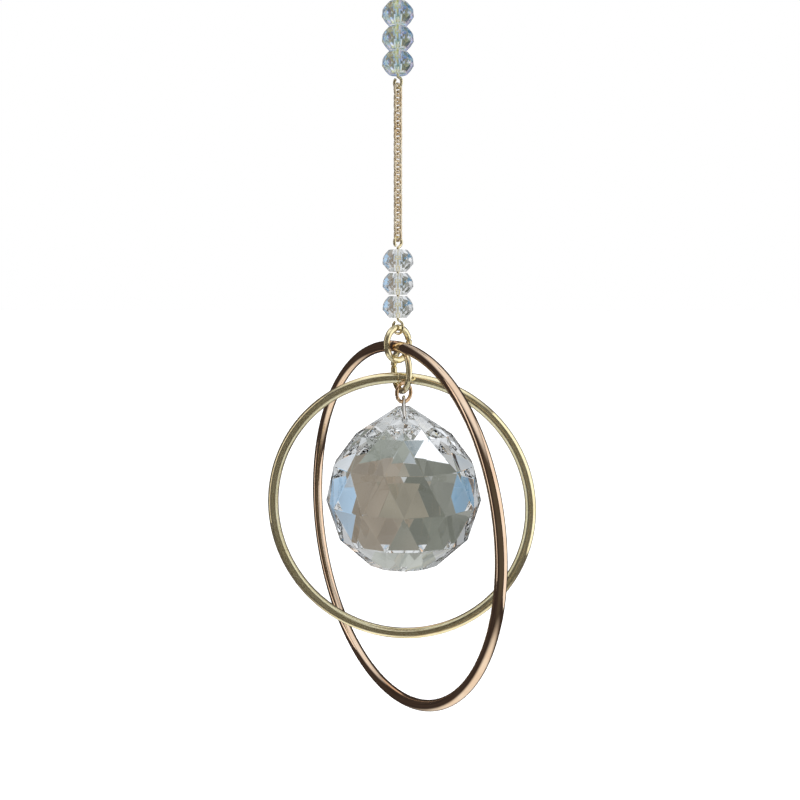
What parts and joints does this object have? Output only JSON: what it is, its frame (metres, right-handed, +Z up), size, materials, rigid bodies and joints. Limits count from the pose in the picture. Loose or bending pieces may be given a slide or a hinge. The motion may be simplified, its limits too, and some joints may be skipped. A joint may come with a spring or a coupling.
{
  "type": "hanging crystal prism ornament",
  "caption": "Hanging ornament: glass beads and a fine chain carry two crossed wire rings round a faceted clear crystal ball.",
  "frame": {"origin": "middle of the hanging ring's hole, where a hook or cord holds the ornament", "axes": "+Z up along the hanging line, -Y towards the viewer, +X to the viewer's right; the hanging ring faces -Y"},
  "size_m": [0.0593, 0.0691, 0.1632],
  "materials": {
    "yellow_gold": "polished pale yellow plating",
    "pale_gold": "bright pale gold plating",
    "rose_gold": "mirror-polished rose gold plating",
    "brown_gold": "polished brown gold plating",
    "silver_wire": "bright fine wire",
    "crystal": "clear cut and polished crystal",
    "coated_bead_glass": "cut glass with a rainbow coating",
    "clear_bead_glass": "clear cut and polished glass"
  },
  "bodies": {
    "root": {"hanging_ring": "yellow_gold", "upper_bead_wire": "yellow_gold", "upper_bead_1": "coated_bead_glass", "upper_bead_2": "coated_bead_glass", "upper_bead_3": "coated_bead_glass", "chain_link_01": "pale_gold", "chain_link_02": "pale_gold", "chain_link_03": "pale_gold", "chain_link_04": "pale_gold", "chain_link_05": "pale_gold", "chain_link_06": "pale_gold", "chain_link_07": "pale_gold", "chain_link_08": "pale_gold", "chain_link_09": "pale_gold", "chain_link_10": "pale_gold", "chain_link_11": "pale_gold", "chain_link_12": "pale_gold", "chain_link_13": "pale_gold", "chain_link_14": "pale_gold", "chain_link_15": "pale_gold", "chain_link_16": "pale_gold", "chain_link_17": "pale_gold", "chain_link_18": "pale_gold", "chain_link_19": "pale_gold", "chain_link_20": "pale_gold", "lower_bead_wire": "yellow_gold", "lower_bead_1": "clear_bead_glass", "lower_bead_2": "clear_bead_glass", "lower_bead_3": "clear_bead_glass", "upper_jump_ring": "yellow_gold", "large_ring": "rose_gold", "lower_jump_ring": "yellow_gold", "small_ring": "yellow_gold", "crystal_jump_ring": "brown_gold", "crystal_bail": "silver_wire", "crystal_ball": "crystal"}
  },
  "joints": []
}
